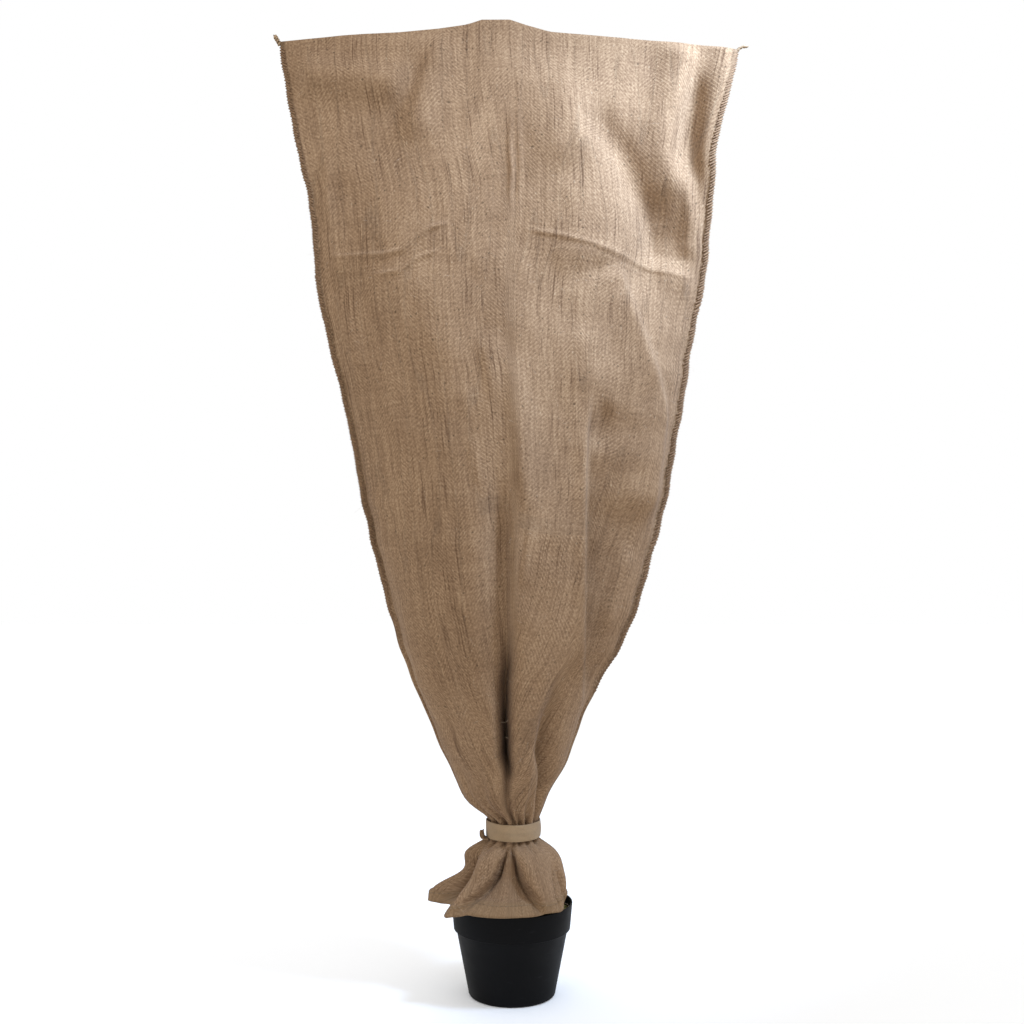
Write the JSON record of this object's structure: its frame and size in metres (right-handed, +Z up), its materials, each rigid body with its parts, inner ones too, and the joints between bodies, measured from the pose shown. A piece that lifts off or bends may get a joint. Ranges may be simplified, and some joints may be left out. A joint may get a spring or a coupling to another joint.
{
  "type": "jute plant cover sack on a plant pot",
  "caption": "Tall jute sack pulled mouth-down as a plant cover, flat and wide at its closed top, strapped to a narrow neck above a round pot, its hemmed mouth flaring over the rim.",
  "frame": {"origin": "middle of the pot's flat base, on the surface the pot stands on", "axes": "+Z up, -Y the front face of the sack, +X to the right of someone who looks at the front"},
  "size_m": [0.606, 0.2108, 1.295],
  "materials": {
    "jute": "matte",
    "webbing": "matte",
    "pot_plastic": "satin",
    "moss": "matte"
  },
  "bodies": {
    "root": {"sack": "jute", "strap": "webbing", "pot": "pot_plastic", "pot_fill": "moss"}
  },
  "joints": []
}
